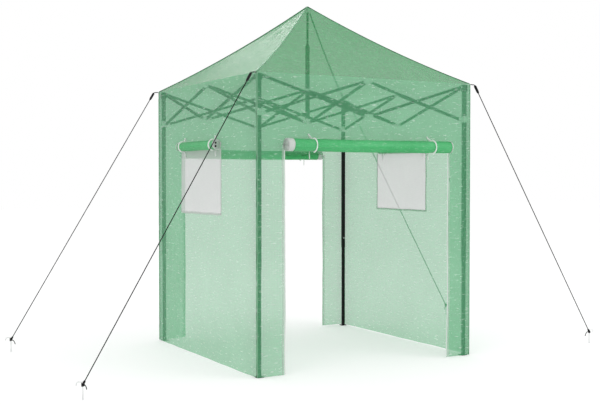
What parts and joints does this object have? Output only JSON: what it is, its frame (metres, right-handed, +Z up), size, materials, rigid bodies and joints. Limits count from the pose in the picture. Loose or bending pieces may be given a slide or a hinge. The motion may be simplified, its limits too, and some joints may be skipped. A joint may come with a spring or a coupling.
{
  "type": "mini pop up greenhouse",
  "caption": "Square walk-in pop-up greenhouse: a folding scissor frame on telescopic legs, a peaked green cloth cover with rolled doors and windows, and guy lines.",
  "frame": {"origin": "middle of the four feet, on the floor", "axes": "+Z up, -Y towards the front door, +X along the front wall"},
  "size_m": [3.5818, 1.6369, 2.2485],
  "materials": {
    "frame_steel": "black powder coat",
    "joint_plastic": "moulded",
    "cover_cloth": "translucent woven film",
    "guy_rope": "braided cord"
  },
  "bodies": {
    "hub_upper": {"hub_upper": "joint_plastic"},
    "inner_bar_down_front": {"inner_bar_down_front": "frame_steel"},
    "inner_bar_up_front": {"inner_bar_up_front": "frame_steel"},
    "side_joint_lower_front": {"side_joint_lower_front": "joint_plastic"},
    "side_joint_upper_front": {"side_joint_upper_front": "joint_plastic", "wall_front": "cover_cloth"},
    "roof_front": {"roof_front": "cover_cloth"},
    "peak_pole": {"hub_lower": "joint_plastic", "peak_pole": "frame_steel", "peak_cap": "joint_plastic"},
    "side_bar_high_a_front": {"side_bar_high_a_front": "frame_steel"},
    "side_bar_low_a_front": {"side_bar_low_a_front": "frame_steel"},
    "leg_upper_front_left": {"leg_upper_front_left": "frame_steel", "guy_line_front_left": "guy_rope"},
    "slider_front_left": {"slider_front_left": "joint_plastic"},
    "side_bar_high_b_front": {"side_bar_high_b_front": "frame_steel"},
    "side_bar_low_b_front": {"side_bar_low_b_front": "frame_steel"},
    "leg_upper_front_right": {"leg_upper_front_right": "frame_steel", "guy_line_front_right": "guy_rope"},
    "slider_front_right": {"slider_front_right": "joint_plastic"},
    "inner_bar_down_right": {"inner_bar_down_right": "frame_steel"},
    "inner_bar_up_right": {"inner_bar_up_right": "frame_steel"},
    "side_joint_lower_right": {"side_joint_lower_right": "joint_plastic"},
    "side_joint_upper_right": {"side_joint_upper_right": "joint_plastic", "wall_right": "cover_cloth"},
    "roof_right": {"roof_right": "cover_cloth"},
    "side_bar_high_a_right": {"side_bar_high_a_right": "frame_steel"},
    "side_bar_low_a_right": {"side_bar_low_a_right": "frame_steel"},
    "side_bar_high_b_right": {"side_bar_high_b_right": "frame_steel"},
    "side_bar_low_b_right": {"side_bar_low_b_right": "frame_steel"},
    "inner_bar_down_rear": {"inner_bar_down_rear": "frame_steel"},
    "inner_bar_up_rear": {"inner_bar_up_rear": "frame_steel"},
    "side_joint_lower_rear": {"side_joint_lower_rear": "joint_plastic"},
    "side_joint_upper_rear": {"side_joint_upper_rear": "joint_plastic", "wall_rear": "cover_cloth"},
    "roof_rear": {"roof_rear": "cover_cloth"},
    "side_bar_high_a_rear": {"side_bar_high_a_rear": "frame_steel"},
    "side_bar_low_a_rear": {"side_bar_low_a_rear": "frame_steel"},
    "leg_upper_rear_right": {"leg_upper_rear_right": "frame_steel", "guy_line_rear_right": "guy_rope"},
    "slider_rear_right": {"slider_rear_right": "joint_plastic"},
    "side_bar_high_b_rear": {"side_bar_high_b_rear": "frame_steel"},
    "side_bar_low_b_rear": {"side_bar_low_b_rear": "frame_steel"},
    "leg_upper_rear_left": {"leg_upper_rear_left": "frame_steel", "guy_line_rear_left": "guy_rope"},
    "slider_rear_left": {"slider_rear_left": "joint_plastic"},
    "inner_bar_down_left": {"inner_bar_down_left": "frame_steel"},
    "inner_bar_up_left": {"inner_bar_up_left": "frame_steel"},
    "side_joint_lower_left": {"side_joint_lower_left": "joint_plastic"},
    "side_joint_upper_left": {"side_joint_upper_left": "joint_plastic", "wall_left": "cover_cloth"},
    "roof_left": {"roof_left": "cover_cloth"},
    "side_bar_high_a_left": {"side_bar_high_a_left": "frame_steel"},
    "side_bar_low_a_left": {"side_bar_low_a_left": "frame_steel"},
    "side_bar_high_b_left": {"side_bar_high_b_left": "frame_steel"},
    "side_bar_low_b_left": {"side_bar_low_b_left": "frame_steel"},
    "leg_lower_front_left": {"leg_lower_front_left": "frame_steel"},
    "leg_lower_front_right": {"leg_lower_front_right": "frame_steel"},
    "leg_lower_rear_right": {"leg_lower_rear_right": "frame_steel"},
    "leg_lower_rear_left": {"leg_lower_rear_left": "frame_steel"}
  },
  "joints": [
    {"name": "fold", "type": "hinge", "parent": "hub_upper", "child": "inner_bar_down_front", "pos_m": [-0.006, -0.03, 1.69], "axis": [1, 0, 0], "range_deg": [0, 67], "deforming": ["wall_front", "wall_right", "wall_rear", "wall_left", "roof_front", "roof_right", "roof_rear", "roof_left"]},
    {"name": "inner_cross_front", "type": "hinge", "parent": "inner_bar_down_front", "child": "inner_bar_up_front", "pos_m": [0, -0.364, 1.59], "axis": [1, 0, 0], "range_deg": [-135, 0]},
    {"name": "lower_joint_front", "type": "hinge", "parent": "inner_bar_down_front", "child": "side_joint_lower_front", "pos_m": [-0.006, -0.698, 1.49], "axis": [1, 0, 0], "range_deg": [-68, 0]},
    {"name": "upper_joint_front", "type": "hinge", "parent": "inner_bar_up_front", "child": "side_joint_upper_front", "pos_m": [0.006, -0.698, 1.69], "axis": [1, 0, 0], "range_deg": [0, 68]},
    {"name": "eave_front", "type": "hinge", "parent": "side_joint_upper_front", "child": "roof_front", "pos_m": [0, -0.75, 1.712], "axis": [1, 0, 0], "range_deg": [-126.5, 0]},
    {"name": "lower_hub", "type": "hinge", "parent": "inner_bar_up_front", "child": "peak_pole", "pos_m": [0.006, -0.03, 1.49], "axis": [1, 0, 0], "range_deg": [0, 68]},
    {"name": "side_bar_a_front", "type": "hinge", "parent": "side_joint_lower_front", "child": "side_bar_high_a_front", "pos_m": [-0.022, -0.73, 1.49], "axis": [0, 1, 0], "range_deg": [0, 68]},
    {"name": "side_cross_a_front", "type": "hinge", "parent": "side_bar_high_a_front", "child": "side_bar_low_a_front", "pos_m": [-0.356, -0.724, 1.59], "axis": [0, 1, 0], "range_deg": [-135, 0]},
    {"name": "leg_top_front_left", "type": "hinge", "parent": "side_bar_high_a_front", "child": "leg_upper_front_left", "pos_m": [-0.69, -0.73, 1.69], "axis": [0, 1, 0], "range_deg": [-68, 0]},
    {"name": "slider_front_left", "type": "hinge", "parent": "side_bar_low_a_front", "child": "slider_front_left", "pos_m": [-0.69, -0.718, 1.49], "axis": [0, 1, 0], "range_deg": [0, 68]},
    {"name": "side_bar_b_front", "type": "hinge", "parent": "side_joint_lower_front", "child": "side_bar_high_b_front", "pos_m": [0.022, -0.73, 1.49], "axis": [0, 1, 0], "range_deg": [-68, 0]},
    {"name": "side_cross_b_front", "type": "hinge", "parent": "side_bar_high_b_front", "child": "side_bar_low_b_front", "pos_m": [0.356, -0.724, 1.59], "axis": [0, 1, 0], "range_deg": [0, 135]},
    {"name": "leg_top_front_right", "type": "hinge", "parent": "side_bar_high_b_front", "child": "leg_upper_front_right", "pos_m": [0.69, -0.73, 1.69], "axis": [0, 1, 0], "range_deg": [0, 68]},
    {"name": "slider_front_right", "type": "hinge", "parent": "side_bar_low_b_front", "child": "slider_front_right", "pos_m": [0.69, -0.718, 1.49], "axis": [0, 1, 0], "range_deg": [-68, 0]},
    {"name": "inner_bar_down_right_at_hub", "type": "hinge", "parent": "hub_upper", "child": "inner_bar_down_right", "pos_m": [0.03, -0.006, 1.69], "axis": [0, 1, 0], "range_deg": [0, 68]},
    {"name": "inner_cross_right", "type": "hinge", "parent": "inner_bar_down_right", "child": "inner_bar_up_right", "pos_m": [0.364, 0, 1.59], "axis": [0, 1, 0], "range_deg": [-135, 0]},
    {"name": "lower_joint_right", "type": "hinge", "parent": "inner_bar_down_right", "child": "side_joint_lower_right", "pos_m": [0.698, -0.006, 1.49], "axis": [0, 1, 0], "range_deg": [-68, 0]},
    {"name": "upper_joint_right", "type": "hinge", "parent": "inner_bar_up_right", "child": "side_joint_upper_right", "pos_m": [0.698, 0.006, 1.69], "axis": [0, 1, 0], "range_deg": [0, 68]},
    {"name": "eave_right", "type": "hinge", "parent": "side_joint_upper_right", "child": "roof_right", "pos_m": [0.75, 0, 1.712], "axis": [0, 1, 0], "range_deg": [-126.5, 0]},
    {"name": "side_bar_a_right", "type": "hinge", "parent": "side_joint_lower_right", "child": "side_bar_high_a_right", "pos_m": [0.73, -0.022, 1.49], "axis": [-1, 0, 0], "range_deg": [0, 68]},
    {"name": "side_cross_a_right", "type": "hinge", "parent": "side_bar_high_a_right", "child": "side_bar_low_a_right", "pos_m": [0.724, -0.356, 1.59], "axis": [-1, 0, 0], "range_deg": [-135, 0]},
    {"name": "side_bar_b_right", "type": "hinge", "parent": "side_joint_lower_right", "child": "side_bar_high_b_right", "pos_m": [0.73, 0.022, 1.49], "axis": [-1, 0, 0], "range_deg": [-68, 0]},
    {"name": "side_cross_b_right", "type": "hinge", "parent": "side_bar_high_b_right", "child": "side_bar_low_b_right", "pos_m": [0.724, 0.356, 1.59], "axis": [-1, 0, 0], "range_deg": [0, 135]},
    {"name": "inner_bar_down_rear_at_hub", "type": "hinge", "parent": "hub_upper", "child": "inner_bar_down_rear", "pos_m": [0.006, 0.03, 1.69], "axis": [-1, 0, 0], "range_deg": [0, 68]},
    {"name": "inner_cross_rear", "type": "hinge", "parent": "inner_bar_down_rear", "child": "inner_bar_up_rear", "pos_m": [0, 0.364, 1.59], "axis": [-1, 0, 0], "range_deg": [-135, 0]},
    {"name": "lower_joint_rear", "type": "hinge", "parent": "inner_bar_down_rear", "child": "side_joint_lower_rear", "pos_m": [0.006, 0.698, 1.49], "axis": [-1, 0, 0], "range_deg": [-68, 0]},
    {"name": "upper_joint_rear", "type": "hinge", "parent": "inner_bar_up_rear", "child": "side_joint_upper_rear", "pos_m": [-0.006, 0.698, 1.69], "axis": [-1, 0, 0], "range_deg": [0, 68]},
    {"name": "eave_rear", "type": "hinge", "parent": "side_joint_upper_rear", "child": "roof_rear", "pos_m": [0, 0.75, 1.712], "axis": [-1, 0, 0], "range_deg": [-126.5, 0]},
    {"name": "side_bar_a_rear", "type": "hinge", "parent": "side_joint_lower_rear", "child": "side_bar_high_a_rear", "pos_m": [0.022, 0.73, 1.49], "axis": [0, -1, 0], "range_deg": [0, 68]},
    {"name": "side_cross_a_rear", "type": "hinge", "parent": "side_bar_high_a_rear", "child": "side_bar_low_a_rear", "pos_m": [0.356, 0.724, 1.59], "axis": [0, -1, 0], "range_deg": [-135, 0]},
    {"name": "leg_top_rear_right", "type": "hinge", "parent": "side_bar_high_a_rear", "child": "leg_upper_rear_right", "pos_m": [0.69, 0.73, 1.69], "axis": [0, -1, 0], "range_deg": [-68, 0]},
    {"name": "slider_rear_right", "type": "hinge", "parent": "side_bar_low_a_rear", "child": "slider_rear_right", "pos_m": [0.69, 0.718, 1.49], "axis": [0, -1, 0], "range_deg": [0, 68]},
    {"name": "side_bar_b_rear", "type": "hinge", "parent": "side_joint_lower_rear", "child": "side_bar_high_b_rear", "pos_m": [-0.022, 0.73, 1.49], "axis": [0, -1, 0], "range_deg": [-68, 0]},
    {"name": "side_cross_b_rear", "type": "hinge", "parent": "side_bar_high_b_rear", "child": "side_bar_low_b_rear", "pos_m": [-0.356, 0.724, 1.59], "axis": [0, -1, 0], "range_deg": [0, 135]},
    {"name": "leg_top_rear_left", "type": "hinge", "parent": "side_bar_high_b_rear", "child": "leg_upper_rear_left", "pos_m": [-0.69, 0.73, 1.69], "axis": [0, -1, 0], "range_deg": [0, 68]},
    {"name": "slider_rear_left", "type": "hinge", "parent": "side_bar_low_b_rear", "child": "slider_rear_left", "pos_m": [-0.69, 0.718, 1.49], "axis": [0, -1, 0], "range_deg": [-68, 0]},
    {"name": "inner_bar_down_left_at_hub", "type": "hinge", "parent": "hub_upper", "child": "inner_bar_down_left", "pos_m": [-0.03, 0.006, 1.69], "axis": [0, -1, 0], "range_deg": [0, 68]},
    {"name": "inner_cross_left", "type": "hinge", "parent": "inner_bar_down_left", "child": "inner_bar_up_left", "pos_m": [-0.364, 0, 1.59], "axis": [0, -1, 0], "range_deg": [-135, 0]},
    {"name": "lower_joint_left", "type": "hinge", "parent": "inner_bar_down_left", "child": "side_joint_lower_left", "pos_m": [-0.698, 0.006, 1.49], "axis": [0, -1, 0], "range_deg": [-68, 0]},
    {"name": "upper_joint_left", "type": "hinge", "parent": "inner_bar_up_left", "child": "side_joint_upper_left", "pos_m": [-0.698, -0.006, 1.69], "axis": [0, -1, 0], "range_deg": [0, 68]},
    {"name": "eave_left", "type": "hinge", "parent": "side_joint_upper_left", "child": "roof_left", "pos_m": [-0.75, 0, 1.712], "axis": [0, -1, 0], "range_deg": [-126.5, 0]},
    {"name": "side_bar_a_left", "type": "hinge", "parent": "side_joint_lower_left", "child": "side_bar_high_a_left", "pos_m": [-0.73, 0.022, 1.49], "axis": [1, 0, 0], "range_deg": [0, 68]},
    {"name": "side_cross_a_left", "type": "hinge", "parent": "side_bar_high_a_left", "child": "side_bar_low_a_left", "pos_m": [-0.724, 0.356, 1.59], "axis": [1, 0, 0], "range_deg": [-135, 0]},
    {"name": "side_bar_b_left", "type": "hinge", "parent": "side_joint_lower_left", "child": "side_bar_high_b_left", "pos_m": [-0.73, -0.022, 1.49], "axis": [1, 0, 0], "range_deg": [-68, 0]},
    {"name": "side_cross_b_left", "type": "hinge", "parent": "side_bar_high_b_left", "child": "side_bar_low_b_left", "pos_m": [-0.724, -0.356, 1.59], "axis": [1, 0, 0], "range_deg": [0, 135]},
    {"name": "leg_length_front_left", "type": "slide", "parent": "leg_upper_front_left", "child": "leg_lower_front_left", "axis": [0, 0, 1], "range_m": [0, 0.55]},
    {"name": "leg_length_front_right", "type": "slide", "parent": "leg_upper_front_right", "child": "leg_lower_front_right", "axis": [0, 0, 1], "range_m": [0, 0.55]},
    {"name": "leg_length_rear_right", "type": "slide", "parent": "leg_upper_rear_right", "child": "leg_lower_rear_right", "axis": [0, 0, 1], "range_m": [0, 0.55]},
    {"name": "leg_length_rear_left", "type": "slide", "parent": "leg_upper_rear_left", "child": "leg_lower_rear_left", "axis": [0, 0, 1], "range_m": [0, 0.55]}
  ],
  "couplings": [
    {"joint": "inner_cross_front", "follows": "fold", "ratio": -2},
    {"joint": "lower_joint_front", "follows": "fold", "ratio": -1},
    {"joint": "upper_joint_front", "follows": "fold", "ratio": 1},
    {"joint": "eave_front", "follows": "fold", "ratio": -1.8731},
    {"joint": "lower_hub", "follows": "fold", "ratio": 1},
    {"joint": "side_bar_a_front", "follows": "fold", "ratio": 1},
    {"joint": "side_cross_a_front", "follows": "fold", "ratio": -2},
    {"joint": "leg_top_front_left", "follows": "fold", "ratio": -1},
    {"joint": "slider_front_left", "follows": "fold", "ratio": 1},
    {"joint": "side_bar_b_front", "follows": "fold", "ratio": -1},
    {"joint": "side_cross_b_front", "follows": "fold", "ratio": 2},
    {"joint": "leg_top_front_right", "follows": "fold", "ratio": 1},
    {"joint": "slider_front_right", "follows": "fold", "ratio": -1},
    {"joint": "inner_bar_down_right_at_hub", "follows": "fold", "ratio": 1},
    {"joint": "inner_cross_right", "follows": "fold", "ratio": -2},
    {"joint": "lower_joint_right", "follows": "fold", "ratio": -1},
    {"joint": "upper_joint_right", "follows": "fold", "ratio": 1},
    {"joint": "eave_right", "follows": "fold", "ratio": -1.8731},
    {"joint": "side_bar_a_right", "follows": "fold", "ratio": 1},
    {"joint": "side_cross_a_right", "follows": "fold", "ratio": -2},
    {"joint": "side_bar_b_right", "follows": "fold", "ratio": -1},
    {"joint": "side_cross_b_right", "follows": "fold", "ratio": 2},
    {"joint": "inner_bar_down_rear_at_hub", "follows": "fold", "ratio": 1},
    {"joint": "inner_cross_rear", "follows": "fold", "ratio": -2},
    {"joint": "lower_joint_rear", "follows": "fold", "ratio": -1},
    {"joint": "upper_joint_rear", "follows": "fold", "ratio": 1},
    {"joint": "eave_rear", "follows": "fold", "ratio": -1.8731},
    {"joint": "side_bar_a_rear", "follows": "fold", "ratio": 1},
    {"joint": "side_cross_a_rear", "follows": "fold", "ratio": -2},
    {"joint": "leg_top_rear_right", "follows": "fold", "ratio": -1},
    {"joint": "slider_rear_right", "follows": "fold", "ratio": 1},
    {"joint": "side_bar_b_rear", "follows": "fold", "ratio": -1},
    {"joint": "side_cross_b_rear", "follows": "fold", "ratio": 2},
    {"joint": "leg_top_rear_left", "follows": "fold", "ratio": 1},
    {"joint": "slider_rear_left", "follows": "fold", "ratio": -1},
    {"joint": "inner_bar_down_left_at_hub", "follows": "fold", "ratio": 1},
    {"joint": "inner_cross_left", "follows": "fold", "ratio": -2},
    {"joint": "lower_joint_left", "follows": "fold", "ratio": -1},
    {"joint": "upper_joint_left", "follows": "fold", "ratio": 1},
    {"joint": "eave_left", "follows": "fold", "ratio": -1.8731},
    {"joint": "side_bar_a_left", "follows": "fold", "ratio": 1},
    {"joint": "side_cross_a_left", "follows": "fold", "ratio": -2},
    {"joint": "side_bar_b_left", "follows": "fold", "ratio": -1},
    {"joint": "side_cross_b_left", "follows": "fold", "ratio": 2}
  ]
}
